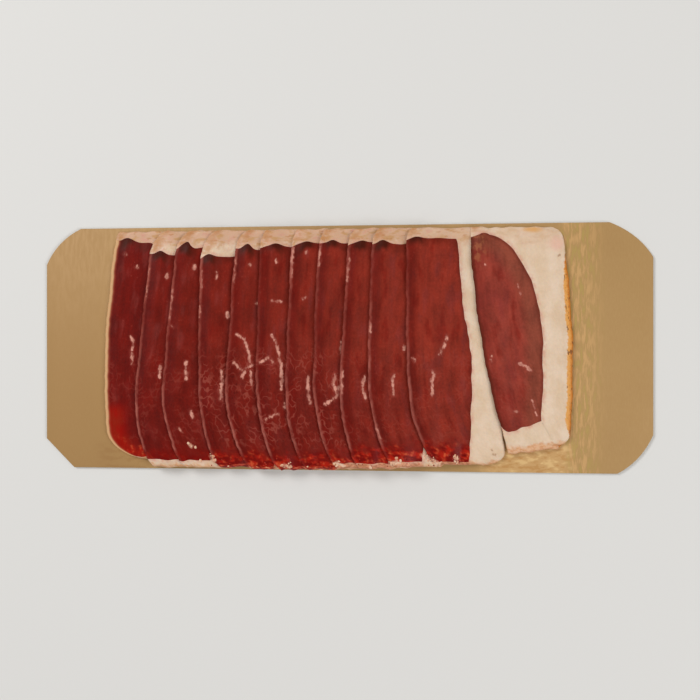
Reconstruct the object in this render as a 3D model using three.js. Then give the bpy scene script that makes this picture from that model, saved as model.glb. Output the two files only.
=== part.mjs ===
// A retail pack of sliced smoked duck breast. Twelve slices are shingled along a gold-faced card, each
// lapping over the one before it, so that only the last one shows whole. A slice is a thin plate of lean
// meat with a band of fat round its far end, its skin side and its near end.
//
// Millimetres, +Z up. The origin is the middle of the card's underside. +X runs along the card, in the
// order in which the slices are laid, and +Y is the far side of the card.

import * as THREE from 'three';

// ---- Driving dimensions ----

const CARD = {
  length: 250,
  width: 100,
  thickness: 1,
  // How each corner is cut: how much comes off its long and its short side, and by how much the cut bulges
  // outwards. The near left one is cut straight.
  cuts: [
    { sideX: 1, sideY: -1, offLong: 14, offShort: 15.5, bulge: 1.8 },
    { sideX: 1, sideY: 1, offLong: 17, offShort: 14, bulge: 1.9 },
    { sideX: -1, sideY: 1, offLong: 15, offShort: 15, bulge: 2 },
    { sideX: -1, sideY: -1, offLong: 12, offShort: 12, bulge: 0 },
  ],
};

const THICKNESS = 2.2; // of a slice
const EDGE_SHARE = 0.6; // of that thickness, at the lean edge and at the skin
const EDGE_TAPER = 6; // width over which a slice thins towards either
const CLEARANCE = 0.3; // between neighbouring pieces

const GAUGE = 35; // distance from the middle line at which an edge's tilt is stated

// What all slices share, unless their own row says otherwise. A corner's rounding is given as how far it
// reaches along Y and how far it draws the edge back along X.
const USUAL = {
  curl: 0, // how much further right the lean edge curls at the near gauge line
  width: 34.5, // lean edge to skin edge, on the middle line
  skinBow: 2, // how much nearer the skin edge is at the gauge lines than on the middle line
  skinFollow: 0.5, // share of the lean edge's tilt that the skin edge has too
  skinFlare: 0, // how much further out the skin edge stands at the near gauge line
  fatBand: 10.6, // fat between the meat and the skin edge
  fatFarEnd: 48.4,
  fatNearBand: 1.2, // fat past the meat's near end
  fatNearRise: 0, // by which the slice's near end is further back on its skin side
  farCorner: { reach: 6, inset: 2.4 }, // of the lean edge
  nearCorner: { reach: 6, inset: 2 }, // of the lean edge
  skinCorner: { reach: 4.5, inset: 4.5 }, // of the skin edge, at its near end
  shoulder: 1, // by which the meat's far end is lower at the lean edge
  lobe: 1, // height of the lobe that stands up from the meat's far end
  lobeAt: 5, // its distance from the lean edge
  lobeWidth: 2.6, // from its top to where little of it is left
  meatFarCorner: { reach: 8, inset: 3 }, // of the meat's skin side
  meatFlare: 0, // as skinFlare, for the meat's skin side
  meatNearRise: 0, // by which the meat's near end is further back on its skin side
  meatNearLift: 0, // and the same at the lean edge
  meatStep: 0, // by which its skin side is drawn back in its far half
};

// The slices in the order in which they are laid. edge is where the lean edge crosses the card's middle
// line, far and near are how much further right it stands at the two gauge lines, and meatFar and
// meatNear are where the meat ends.
const SLICES = [
  {
    edge: -99.2,
    far: 3,
    near: 0.3,
    meatFar: 43.5,
    meatNear: -45,
    shoulder: -1.8,
    lobe: 2.2,
    lobeAt: 5.5,
    lobeWidth: 4,
    farCorner: { reach: 4, inset: 1.2 },
    nearCorner: { reach: 14, inset: 19 },
  },
  {
    edge: -83.8,
    far: 3.9,
    near: -3.9,
    curl: 3.6,
    meatFar: 38.4,
    meatNear: -46,
    fatNearBand: 3.2,
    shoulder: -0.4,
    lobe: 1.8,
    lobeAt: 4.9,
    farCorner: { reach: 11, inset: 6 },
  },
  {
    edge: -72,
    far: 3.7,
    near: -2.8,
    curl: 3.8,
    meatFar: 40.9,
    meatNear: -46.2,
    fatNearBand: 3,
    shoulder: 0.4,
    lobe: 2.7,
    lobeAt: 4,
    farCorner: { reach: 9, inset: 4.4 },
  },
  {
    edge: -58,
    far: 0.8,
    near: 0.2,
    curl: 2.3,
    meatFar: 37.4,
    meatNear: -47.8,
    lobe: 0.8,
    lobeAt: 3.7,
    farCorner: { reach: 12, inset: 6.5 },
  },
  {
    edge: -45.5,
    far: 2.4,
    near: -2.4,
    curl: 4,
    meatFar: 39.9,
    meatNear: -48.4,
    shoulder: -0.8,
    lobe: 2.5,
    farCorner: { reach: 8.5, inset: 5 },
  },
  {
    edge: -33.6,
    far: 1.2,
    near: -0.5,
    curl: 2.9,
    meatFar: 41.2,
    meatNear: -48.4,
    shoulder: 0.6,
    lobe: 1.3,
    lobeAt: 6.5,
  },
  {
    edge: -21.1,
    far: 1.5,
    near: -1.2,
    curl: 2.8,
    meatFar: 42.3,
    meatNear: -48.2,
    shoulder: 1.6,
    lobeAt: 6.1,
  },
  {
    edge: -9.9,
    far: 1.5,
    near: 0,
    curl: 2.6,
    meatFar: 42.4,
    meatNear: -46.6,
    fatNearBand: 2.2,
    shoulder: 0.2,
    lobe: 1.1,
  },
  {
    edge: 1.4,
    far: 2.2,
    near: -1.3,
    curl: 2.7,
    meatFar: 42.4,
    meatNear: -46.6,
    fatNearBand: 2.2,
    lobe: 0.9,
  },
  {
    edge: 12.3,
    far: 1.2,
    near: 0.8,
    curl: 2.7,
    meatFar: 41.8,
    meatNear: -45.8,
    fatNearBand: 2.2,
    shoulder: 0.2,
    lobe: 1.5,
    lobeAt: 4.2,
  },
  {
    edge: 27.7,
    far: -0.2,
    near: 1.3,
    curl: 3.4,
    width: 35.8,
    fatBand: 10.2,
    skinFlare: 3.9,
    skinCorner: { reach: 5.5, inset: 9 },
    meatFar: 44,
    meatNear: -45.8,
    lobe: 0.8,
    lobeAt: 4,
    meatFarCorner: { reach: 3, inset: 0.4 },
    meatFlare: 1,
    meatStep: 2.7,
  },
  {
    edge: 57.9,
    far: -4.4,
    near: 8,
    width: 35.6,
    skinFollow: 0.12,
    fatBand: 11.8,
    fatNearBand: 7.7,
    fatNearRise: 3.8,
    farCorner: { reach: 3, inset: 0.4 },
    nearCorner: { reach: 2, inset: 0.4 },
    meatFar: 45.4,
    meatNear: -34.9,
    lobe: 0.6,
    meatFarCorner: { reach: 42, inset: 18 },
    meatNearRise: 5.7,
    meatNearLift: 4,
  },
].map((own) => ({ ...USUAL, ...own }));

const CURL_START = -14; // along Y, from where the lean edge curls
const MEAT_STEP_SPAN = [-6, 20]; // where along Y the meat's skin side is drawn back
const SKIN_FAR_CORNER = { reach: 4.5, inset: 4.5 };
const SHOULDER_WIDTH = 3.5;
const LIFT_SHARE = 0.2; // of the meat's width

// How a slice bends down past the edges of the slices below it.
const CELL = 0.5; // of the grid that holds the heights
const BEND = 0.08; // its drop, over the square of the distance past the edge
const BEND_REACH = 8; // distance over which it is bent
const MARGIN = 0.5; // by which it clears the edge first

const MEAT_STEPS = 18; // along the slice
const MEAT_COLUMNS = [0, 0.09, 0.18, 0.28, 0.41, 0.55, 0.7, 0.85, 1]; // shares of its width, closest at the lobe
const FAT_STEPS = 2; // across the band of fat

const MATERIALS = {
  lean: new THREE.MeshStandardMaterial({ color: 0x80271d, roughness: 0.45, metalness: 0 }),
  fat: new THREE.MeshStandardMaterial({ color: 0xdfc2a3, roughness: 0.5, metalness: 0 }),
  card: new THREE.MeshStandardMaterial({ color: 0xb28f5a, roughness: 0.4, metalness: 0.3 }),
};

const { lerp, smoothstep } = THREE.MathUtils;

// ---- Heights: a grid over the card that holds the top of whatever has been laid so far ----

const COLUMNS = CARD.length / CELL + 1;
const ROWS = CARD.width / CELL + 1;

const gridX = (column) => column * CELL - CARD.length / 2;
const gridY = (row) => row * CELL - CARD.width / 2;

function levelGround(height) {
  return Array.from({ length: ROWS }, () => new Array(COLUMNS).fill(height));
}

function heightAt(ground, x, y) {
  const column = THREE.MathUtils.clamp((x + CARD.length / 2) / CELL, 0, COLUMNS - 1.001);
  const row = THREE.MathUtils.clamp((y + CARD.width / 2) / CELL, 0, ROWS - 1.001);
  const [c, r] = [Math.floor(column), Math.floor(row)];
  const nearSide = lerp(ground[r][c], ground[r][c + 1], column - c);
  const farSide = lerp(ground[r + 1][c], ground[r + 1][c + 1], column - c);
  return lerp(nearSide, farSide, row - r);
}

const transposed = (ground) => ground[0].map((_, column) => ground.map((row) => row[column]));

// The surface that a slice takes when it is laid on this ground. It leaves an edge level and bends down
// beyond it, along a parabola, until it meets what lies lower.
function draped(ground) {
  const cells = Math.round(BEND_REACH / CELL);
  const bent = (heights) =>
    heights.map((_, i) => {
      const from = Math.max(0, i - cells);
      const drops = heights.slice(from, i + cells + 1).map((height, k) => {
        const distance = Math.max(0, Math.abs(from + k - i) * CELL - MARGIN);
        return height - BEND * distance ** 2;
      });
      return Math.max(...drops);
    });
  return transposed(transposed(ground.map(bent)).map(bent));
}

// ---- Outline of a slice ----

// A curve x(y) that stands at middle on the middle line, and that much further right at the gauge lines.
function bowedLine(middle, far, near) {
  return (y) => middle + ((far - near) / 2) * (y / GAUGE) + ((far + near) / 2) * (y / GAUGE) ** 2;
}

// How far a rounded corner has drawn back, at a distance into its reach.
function cornerInset(into, { reach, inset }) {
  const share = THREE.MathUtils.clamp(into / reach, 0, 1);
  return inset * (1 - Math.sqrt(1 - share * share));
}

function outlineOf(slice) {
  const { edge, width, far, near, skinFollow, skinBow, meatFar, meatFarCorner, fatNearRise } = slice;
  const { farCorner, nearCorner, skinCorner } = slice;
  const [farEnd, nearEnd] = [slice.fatFarEnd, slice.meatNear - slice.fatNearBand];
  const leanLine = bowedLine(edge, far, near);
  const [skinFar, skinNear] = [far * skinFollow - skinBow, near * skinFollow - skinBow];
  const skinLine = bowedLine(edge + width, skinFar, skinNear + slice.skinFlare);
  const meatLine = bowedLine(edge + width - slice.fatBand, skinFar, skinNear + slice.meatFlare);
  return {
    farEnd,
    nearEnd,
    fatNearRise,
    leanEdge: (y) =>
      leanLine(y) +
      slice.curl * (Math.max(0, CURL_START - y) / (CURL_START + GAUGE)) ** 2 +
      cornerInset(y - farEnd + farCorner.reach, farCorner) +
      cornerInset(nearEnd + nearCorner.reach - y, nearCorner),
    skinEdge: (y) =>
      skinLine(y) -
      cornerInset(y - farEnd + SKIN_FAR_CORNER.reach, SKIN_FAR_CORNER) -
      cornerInset(nearEnd + fatNearRise + skinCorner.reach - y, skinCorner),
    meatEdge: (y) =>
      meatLine(y) -
      slice.meatStep * smoothstep(y, ...MEAT_STEP_SPAN) -
      cornerInset(y - meatFar + meatFarCorner.reach, meatFarCorner),
  };
}

// ---- Plates ----

// A closed plate over a grid of plan points: points[i][j] is [x, y], and turning from i to j is anticlockwise
// when seen from above. under and over give the heights of its two faces.
function plate(points, under, over) {
  const lastI = points.length - 1;
  const lastJ = points[0].length - 1;
  const count = (lastI + 1) * (lastJ + 1);
  const at = (i, j) => i * (lastJ + 1) + j;
  const flat = points.flat();
  const positions = [
    ...flat.flatMap(([x, y]) => [x, y, over(x, y)]),
    ...flat.flatMap(([x, y]) => [x, y, under(x, y)]),
  ];
  const faces = [];
  const wall = (a, b) => faces.push(b, a, a + count, b, a + count, b + count);
  for (let i = 0; i < lastI; i++) {
    for (let j = 0; j < lastJ; j++) {
      const [a, b, c, d] = [at(i, j), at(i + 1, j), at(i + 1, j + 1), at(i, j + 1)];
      faces.push(a, b, c, a, c, d);
      faces.push(a + count, c + count, b + count, a + count, d + count, c + count);
    }
    wall(at(i, 0), at(i + 1, 0));
    wall(at(i + 1, lastJ), at(i, lastJ));
  }
  for (let j = 0; j < lastJ; j++) {
    wall(at(lastI, j), at(lastI, j + 1));
    wall(at(0, j + 1), at(0, j));
  }
  const geometry = new THREE.BufferGeometry();
  geometry.setAttribute('position', new THREE.Float32BufferAttribute(positions, 3));
  geometry.setIndex(faces);
  geometry.computeVertexNormals();
  return geometry;
}

const shares = (steps) => Array.from({ length: steps + 1 }, (_, i) => i / steps);

// The meat, as rows of plan points from its far end to its near end, each from the lean edge across.
function meatPoints(slice, outline) {
  const { meatFar, shoulder, lobe, lobeAt, lobeWidth, meatNear, meatNearRise, meatNearLift } = slice;
  const span = outline.meatEdge(meatFar) - outline.leanEdge(meatFar);
  const farEnd = (across) => {
    const run = across * span;
    const lowered = shoulder * Math.max(0, 1 - run / SHOULDER_WIDTH) ** 2;
    return meatFar - lowered + lobe * Math.exp(-(((run - lobeAt) / lobeWidth) ** 2));
  };
  const nearEnd = (across) =>
    meatNear + meatNearRise * across + meatNearLift * Math.max(0, 1 - across / LIFT_SHARE) ** 2;
  return shares(MEAT_STEPS).map((along) =>
    MEAT_COLUMNS.map((across) => {
      const y = lerp(farEnd(across), nearEnd(across), along);
      return [lerp(outline.leanEdge(y), outline.meatEdge(y), across), y];
    }),
  );
}

// The meat's border with the fat, in three stretches: along its far end, down its right side and back along
// its near end.
function meatBorder(points) {
  const lastRow = points[points.length - 1];
  return [points[0], points.map((row) => row[row.length - 1]), [...lastRow].reverse()];
}

// The slice's perimeter without its lean edge, in the same three stretches.
function slicePerimeter({ farEnd, nearEnd, fatNearRise, leanEdge, skinEdge }) {
  const across = (start, rise) =>
    shares(2).map((s) => {
      const y = start + rise * s;
      return [lerp(leanEdge(y), skinEdge(y), s), y];
    });
  const down = shares(90).map((s) => lerp(farEnd, nearEnd + fatNearRise, s));
  return [
    across(farEnd, 0),
    down.map((y) => [skinEdge(y), y]),
    across(nearEnd, fatNearRise).reverse(),
  ];
}

// Running length at each point of a line, as a share of the whole.
function progress(line) {
  const runs = [0];
  for (let i = 1; i < line.length; i++) {
    runs.push(runs[i - 1] + Math.hypot(line[i][0] - line[i - 1][0], line[i][1] - line[i - 1][1]));
  }
  return runs.map((run) => run / runs[runs.length - 1]);
}

function pointAlong(line, steps, share) {
  const i = Math.max(1, steps.findIndex((step) => step >= share - 1e-9));
  const part = (share - steps[i - 1]) / (steps[i] - steps[i - 1]);
  return [lerp(line[i - 1][0], line[i][0], part), lerp(line[i - 1][1], line[i][1], part)];
}

// The points of a line, each moved outwards, which is to its left.
function offsetLine(line, distance) {
  return line.map(([x, y], i) => {
    const [x0, y0] = line[Math.max(0, i - 1)];
    const [x1, y1] = line[Math.min(line.length - 1, i + 1)];
    const scale = distance / Math.hypot(x1 - x0, y1 - y0);
    return [x - scale * (y1 - y0), y + scale * (x1 - x0)];
  });
}

// The fat, as rows of plan points from the meat's border out to the slice's perimeter.
function fatPoints(border, perimeter) {
  const joined = (stretches) => stretches.flatMap((line, i) => (i === 0 ? line : line.slice(1)));
  const inner = offsetLine(joined(border), CLEARANCE);
  const outer = joined(
    border.map((line, i) => {
      const steps = progress(perimeter[i]);
      return progress(line).map((share) => pointAlong(perimeter[i], steps, share));
    }),
  );
  return inner.map(([x0, y0], i) =>
    shares(FAT_STEPS).map((s) => [lerp(x0, outer[i][0], s), lerp(y0, outer[i][1], s)]),
  );
}

// ---- Pieces ----

function pieceOf(name, geometry, material) {
  const mesh = new THREE.Mesh(geometry, material);
  mesh.name = name;
  return mesh;
}

// Gold-faced card with its corners cut.
function makeCard() {
  const corner = new THREE.Vector2();
  const shape = new THREE.Shape();
  CARD.cuts.forEach(({ sideX, sideY, offLong, offShort, bulge }, i) => {
    corner.set((sideX * CARD.length) / 2, (sideY * CARD.width) / 2);
    const onLong = new THREE.Vector2(corner.x - sideX * offLong, corner.y);
    const onShort = new THREE.Vector2(corner.x, corner.y - sideY * offShort);
    const [start, end] = sideX * sideY < 0 ? [onLong, onShort] : [onShort, onLong];
    const middle = start.clone().lerp(end, 0.5);
    const control = middle.clone().add(corner.clone().sub(middle).setLength(2 * bulge));
    if (i === 0) shape.moveTo(start.x, start.y);
    else shape.lineTo(start.x, start.y);
    if (bulge > 0) shape.quadraticCurveTo(control.x, control.y, end.x, end.y);
    else shape.lineTo(end.x, end.y);
  });
  shape.closePath();
  const geometry = new THREE.ExtrudeGeometry(shape, {
    depth: CARD.thickness,
    bevelEnabled: false,
    curveSegments: 8,
  });
  return pieceOf('card', geometry, MATERIALS.card);
}

// Lays one slice on the ground, adds its two pieces to the pack and raises the ground under its outline.
function laySlice(pack, slice, number, ground) {
  const outline = outlineOf(slice);
  const rest = draped(ground);
  const under = (x, y) => heightAt(rest, x, y) + CLEARANCE;
  const over = (x, y) => {
    const fromEdge = Math.min(x - outline.leanEdge(y), outline.skinEdge(y) - x);
    return under(x, y) + THICKNESS * lerp(EDGE_SHARE, 1, smoothstep(fromEdge, 0, EDGE_TAPER));
  };

  const meat = meatPoints(slice, outline);
  const fat = fatPoints(meatBorder(meat), slicePerimeter(outline));
  const label = `slice_${String(number).padStart(2, '0')}`;
  pack.add(pieceOf(`${label}_lean`, plate(meat, under, over), MATERIALS.lean));
  pack.add(pieceOf(`${label}_fat`, plate(fat, under, over), MATERIALS.fat));

  ground.forEach((row, r) => {
    const y = gridY(r);
    if (y > outline.farEnd || y < outline.nearEnd) return;
    row.forEach((_, c) => {
      const x = gridX(c);
      if (x >= outline.leanEdge(y) && x <= outline.skinEdge(y)) row[c] = over(x, y);
    });
  });
}

const pack = new THREE.Group();
pack.add(makeCard());
const ground = levelGround(CARD.thickness);
SLICES.forEach((slice, i) => laySlice(pack, slice, i + 1, ground));

export default pack;
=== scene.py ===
"""A retail pack of sliced smoked duck breast: twelve slices shingled along a gold-faced card."""

import math
from types import SimpleNamespace

import bpy
import numpy as np
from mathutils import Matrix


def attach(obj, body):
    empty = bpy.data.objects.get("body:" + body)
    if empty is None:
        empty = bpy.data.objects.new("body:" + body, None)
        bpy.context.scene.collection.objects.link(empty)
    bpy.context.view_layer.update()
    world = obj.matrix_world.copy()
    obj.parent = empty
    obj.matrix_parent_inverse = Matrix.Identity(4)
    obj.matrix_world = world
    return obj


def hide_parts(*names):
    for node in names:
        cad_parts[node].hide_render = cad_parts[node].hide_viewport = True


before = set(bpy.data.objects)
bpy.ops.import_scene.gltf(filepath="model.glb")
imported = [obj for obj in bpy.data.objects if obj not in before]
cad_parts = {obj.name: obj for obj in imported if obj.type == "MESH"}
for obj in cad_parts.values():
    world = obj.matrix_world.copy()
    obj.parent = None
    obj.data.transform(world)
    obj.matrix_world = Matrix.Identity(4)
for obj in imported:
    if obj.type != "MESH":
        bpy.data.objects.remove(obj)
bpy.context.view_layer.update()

# ---- The card ----
# The card that the slices lie on: pale greyboard a millimetre thick, with a gold film laminated to its
# upper face. It is die-cut, so the bare board shows at its edge. A straight cut takes off its near left
# corner, and cuts that bulge outwards take off the other three.

MM = 0.001
CARD = SimpleNamespace(length=250, width=100, thickness=1)
# At each corner: its sides, what is cut off its long and its short side, and how far the cut bulges out.
CORNER_CUTS = (((1, -1), 14, 15.5, 1.8), ((1, 1), 17, 14, 1.9), ((-1, 1), 15, 15, 2), ((-1, -1), 12, 12, 0))
CARD_BEVEL = 0.12  # by which the cutting die has pressed down the film along the edge
CARD_FOOT = 0.06  # the same at its underside
CURVE_STEPS = 12  # along a corner's cut
FILM_FROM = (0.86, 0.9)  # heights between which bare board gives way to film
FOOD_SHARP, CARD_SHARP = 50, 25  # degrees from which an edge isn't smoothed over


def colour(red, green, blue):
    """A display colour, 0 to 255, as the light that a material gives back."""
    share = np.array([red, green, blue]) / 255
    light = np.where(share <= 0.04045, share / 12.92, ((share + 0.055) / 1.055) ** 2.4)
    return (*light.tolist(), 1.0)


class Wiring:
    """Puts a node tree together, node by node."""

    def __init__(self, tree):
        self.tree = tree

    def plug(self, socket, value):
        if isinstance(value, bpy.types.NodeSocket):
            self.tree.links.new(value, socket)
        else:
            socket.default_value = value

    def node(self, kind, values=(), **settings):
        made = self.tree.nodes.new(kind)
        for setting, value in settings.items():
            setattr(made, setting, value)
        for socket, value in dict(values).items():
            self.plug(made.inputs[socket], value)
        return made

    def maths(self, operation, *values):
        return self.node("ShaderNodeMath", enumerate(values), operation=operation).outputs[0]

    def times(self, value, *others):
        for other in others:
            value = self.maths("MULTIPLY", value, other)
        return value

    def plus(self, value, *others):
        for other in others:
            value = self.maths("ADD", value, other)
        return value


class Finish(Wiring):
    """A procedural material. Lengths in its patterns are millimetres."""

    def __init__(self, name, **sockets):
        self.material = bpy.data.materials.new(name)
        self.material.use_nodes = True
        super().__init__(self.material.node_tree)
        self.shader = self.tree.nodes["Principled BSDF"]
        for socket, value in sockets.items():
            self.set(socket.replace("_", " "), value)

    def fade(self, value, start, end, low=0.0, high=1.0):
        """From low to high as value goes from start to end, softly."""
        limits = {0: value, 1: start, 2: end, 3: low, 4: high}
        return self.node("ShaderNodeMapRange", limits, interpolation_type="SMOOTHSTEP").outputs[0]

    def mix(self, share, first, second):
        made = self.node("ShaderNodeMix", data_type="RGBA", blend_type="MIX", clamp_factor=True)
        for socket, value in ((0, share), (6, first), (7, second)):
            self.plug(made.inputs[socket], value)
        return made.outputs[2]

    def coat(self, share, *tint):
        """Lays a colour over what is there so far, and hides that where the share is 1."""
        self.base = self.mix(share, self.base, colour(*tint) if len(tint) == 3 else tint[0])

    def shade(self, factor):
        """Makes what is there so far lighter or darker."""
        self.base = self.node("ShaderNodeHueSaturation", {"Value": factor, "Color": self.base}).outputs[0]

    def measures(self, *names):
        """Numbers that the mesh has at its points."""
        return [self.node("ShaderNodeAttribute", attribute_name=name).outputs["Fac"] for name in names]

    def place(self):
        """Where a point is on the piece, in millimetres."""
        at = self.node("ShaderNodeTexCoord").outputs["Object"]
        return self.node("ShaderNodeVectorMath", {0: at, 1: (1 / MM,) * 3}, operation="MULTIPLY").outputs[0]

    def noise(self, place, size, detail=2.0, roughness=0.5, shift=0.0):
        """Soft noise, 0 to 1 about a half, with grains of this size along each axis."""
        scaled = self.node(
            "ShaderNodeVectorMath",
            {0: place, 1: tuple(1 / length for length in size), 2: (shift,) * 3},
            operation="MULTIPLY_ADD",
        ).outputs[0]
        values = {"Vector": scaled, "Scale": 1.0, "Detail": detail, "Roughness": roughness}
        return self.node("ShaderNodeTexNoise", values).outputs[0]

    def grain(self, across, along, shift=0.0, detail=2.0, roughness=0.5):
        """The same over a slice, counted from its lean edge and the middle line."""
        lie = self.node("ShaderNodeAttribute", attribute_name="lie").outputs["Vector"]
        return self.noise(lie, (across, along, 1), detail, roughness, shift)

    def relief(self, height, depth, strength):
        bump = self.node("ShaderNodeBump", {"Height": height, "Distance": depth * MM, "Strength": strength})
        self.plug(self.shader.inputs["Normal"], bump.outputs[0])

    def set(self, socket, value):
        self.plug(self.shader.inputs[socket], value)


def put(name, data):
    """An object in the scene, at the origin."""
    made = bpy.data.objects.new(name, data)
    bpy.context.scene.collection.objects.link(made)
    return made


def add_piece(name, points, faces, finish, replaced, measures=None, sharp=FOOD_SHARP):
    """A mesh piece from points in millimetres. measures are numbers or vectors at each point."""
    mesh = bpy.data.meshes.new(name)
    mesh.from_pydata((np.asarray(points) * MM).tolist(), [], [list(face) for face in faces])
    for label, values in (measures or {}).items():
        values = np.asarray(values, np.float32)
        kind, key = ("FLOAT", "value") if values.ndim == 1 else ("FLOAT_VECTOR", "vector")
        mesh.attributes.new(label, kind, "POINT").data.foreach_set(key, values.ravel())
    mesh.update()
    mesh.shade_smooth()
    mesh.set_sharp_from_angle(angle=math.radians(sharp))
    piece = put(name, mesh)
    mesh.materials.append(finish.material)
    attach(piece, "root")
    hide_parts(*replaced)


def card_outline():
    """The card's outline from above, anticlockwise, in millimetres."""
    line = []
    for (side_x, side_y), off_long, off_short, bulge in CORNER_CUTS:
        corner = np.array([side_x * CARD.length / 2, side_y * CARD.width / 2])
        on_long = corner - (side_x * off_long, 0)
        on_short = corner - (0, side_y * off_short)
        start, end = (on_long, on_short) if side_x * side_y < 0 else (on_short, on_long)
        middle = (start + end) / 2
        control = middle + 2 * bulge * (corner - middle) / np.linalg.norm(corner - middle)
        for t in np.linspace(0, 1, CURVE_STEPS + 1):
            line.append((1 - t) ** 2 * start + 2 * t * (1 - t) * control + t**2 * end)
    return np.array(line)


def inset_line(line, distance):
    """A closed anticlockwise line, drawn inwards."""
    along = np.roll(line, -1, 0) - np.roll(line, 1, 0)
    along /= np.linalg.norm(along, axis=1)[:, None]
    return line + distance * np.column_stack([-along[:, 1], along[:, 0]])


outline = card_outline()
rings = [
    (inset_line(outline, CARD_FOOT), 0),
    (outline, CARD_FOOT),
    (outline, CARD.thickness - CARD_BEVEL),
    (inset_line(outline, 0.3 * CARD_BEVEL), CARD.thickness - 0.3 * CARD_BEVEL),
    (inset_line(outline, CARD_BEVEL), CARD.thickness),
]
card_points = np.vstack([np.column_stack([line, np.full(len(line), z)]) for line, z in rings])
count = len(outline)
card_faces = [list(range(count))[::-1], [(len(rings) - 1) * count + i for i in range(count)]]
for ring in range(len(rings) - 1):
    for i in range(count):
        a, b = ring * count + i, ring * count + (i + 1) % count
        card_faces.append([a, b, b + count, a + count])

gold = Finish("gold_card_face", Specular_IOR_Level=0.3)
on_card = gold.place()
card_x, card_y, card_z = gold.node("ShaderNodeSeparateXYZ", {0: on_card}).outputs
gold.base = gold.mix(gold.noise(on_card, (46, 30, 46)), colour(180, 143, 92), colour(171, 133, 83))
brushed = gold.noise(on_card, (0.5, 2.4, 1), 3)
gold.coat(gold.fade(brushed, 0.35, 0.75, 0, 0.16), 192, 160, 106)
# darker towards the card's left end, beside the first slice
gold.coat(gold.fade(card_x, -70, -108, 0, 0.6), 164, 126, 78)
# Lighter and darker streaks to the right of the last slice; juice and fat that have crept out from the
# slices in blotches at the last one's near end; and a brown soak beside the first one.
streaks = gold.noise(on_card, (1.3, 7, 1), 3, 0.6, 3.1)
beside_last = gold.times(gold.fade(card_x, 87, 91), gold.fade(card_x, 108, 97))
gold.coat(gold.times(beside_last, gold.fade(streaks, 0.48, 0.64, 0, 0.6)), 180, 154, 84)
gold.coat(gold.times(beside_last, gold.fade(streaks, 0.56, 0.36, 0, 0.8)), 206, 162, 106)
blotches = gold.noise(on_card, (3.6, 1.6, 1), 2, 0.5, 8.3)
below_last = gold.times(gold.fade(card_x, 54, 62), gold.fade(card_x, 96, 88), gold.fade(card_y, -36, -40))
gold.coat(gold.times(below_last, 0.75), 208, 164, 108)
gold.coat(gold.times(below_last, gold.fade(blotches, 0.5, 0.66, 0, 0.7)), 226, 190, 132)
gold.coat(gold.times(below_last, gold.fade(blotches, 0.46, 0.34, 0, 0.6)), 184, 132, 72)
below_first = gold.times(gold.fade(card_x, -106, -98), gold.fade(card_x, -76, -84), gold.fade(card_y, -37, -42))
gold.coat(gold.times(below_first, gold.fade(blotches, 0.42, 0.6, 0.15, 0.45)), 154, 112, 66)
# the board's cut edge
fibres = gold.noise(on_card, (0.9, 0.9, 0.08), 3, 0.6, 5.7)
board = gold.mix(fibres, colour(196, 186, 168), colour(172, 160, 141))
gold.set("Base Color", gold.mix(gold.fade(card_z, *FILM_FROM), board, gold.base))
gold.set("Metallic", gold.fade(card_z, *FILM_FROM, 0, 0.12))
dullness = gold.plus(gold.fade(card_z, *FILM_FROM, 0.85, 0.5), gold.fade(streaks, 0.35, 0.65, 0, 0.08))
gold.set("Roughness", dullness)
gold.relief(gold.noise(on_card, (1.1, 1.6, 0.3), 2), 0.03, 0.35)

add_piece("card_gold_faced", card_points, card_faces, gold, ("card",), sharp=CARD_SHARP)

# ---- How the slices lie ----
# Twelve slices across a smoked duck breast, about two millimetres thick, cut on a slicer and laid from
# left to right. Each rests on the one before it and sags down over that one's edge to the card.

THICKNESS = 2.35
GAP = 0.15  # under a slice, which together with it makes the pitch of the stack
EDGE_SHARE, EDGE_TAPER = 0.6, 6.0  # a slice thins towards its lean edge and towards its skin
RIM = 0.9  # width of the rounding along a cut edge
RIM_OVER, RIM_UNDER = 0.5, 0.2  # what it takes off the thickness, above and below
GAUGE = 35  # distance from the middle line at which an edge's tilt is stated
SKIN_FAR_CORNER = (4.5, 4.5)  # reach and inset of the rounding between a slice's skin and its far end
STEP_SPAN = (-6, 20)  # where the meat's edge on the skin's side steps in
CURL_START = -14  # from where the lean edge curls towards the near end
FAR_ZONE, FAR_THINNING = (39, 46), 0.3  # where a slice thins towards its far end, and by what share
FAR_EDGE_SHARE = 0.2  # in place of EDGE_SHARE there, where the soft fat has closed up
SURFACE_WAVE = 0.12  # height of the unevenness of the upper face
CELL = 0.5  # of the grid of heights
BEND_MARGIN, BEND, BEND_REACH = 0.5, 0.08, 8.0  # what stays level past an edge, then the parabola and its reach
SOFTENING = 7  # rounds of averaging with the next cells
# How far each line of a slice's outline strays to either side.
STRAY = SimpleNamespace(lean=0.2, lean_fine=0.1, skin=0.25, skin_fine=0.08, end=0.3, meat=0.2)

# A slice's measures where its own row doesn't say otherwise. A corner is the reach and inset of a rounding.
USUAL = dict(
    curl=0,  # how much further right the lean edge is at the near gauge line for curling
    width=34.5,  # from the lean edge to the skin
    skin_bow=2,  # by which the skin draws in at the gauge lines
    skin_follow=0.5,  # share of the lean edge's own tilt that the skin has
    skin_flare=0,  # by which the skin goes out at the near gauge line
    fat_band=10.6,  # width of the fat on the skin's side
    fat_far_end=48.4,
    fat_near_band=1.2,  # depth of the fat at the near end
    fat_near_rise=0,  # by which the near end is further off at the skin
    far_corner=(6, 2.4),
    near_corner=(6, 2),
    skin_corner=(4.5, 4.5),
    shoulder=1,  # by which the meat's far end is nearer at the lean edge
    lobe=1,  # how far, where and how broadly the meat's far end bulges into the fat
    lobe_at=5,
    lobe_width=2.6,
    meat_far_corner=(8, 3),
    meat_flare=0,  # by which the meat's edge goes out at the near gauge line
    near_rise=0,  # by which the meat's near end is further off at the fat
    near_lift=0,  # and at the lean edge
    step=0,  # depth of the step at STEP_SPAN
)
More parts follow.
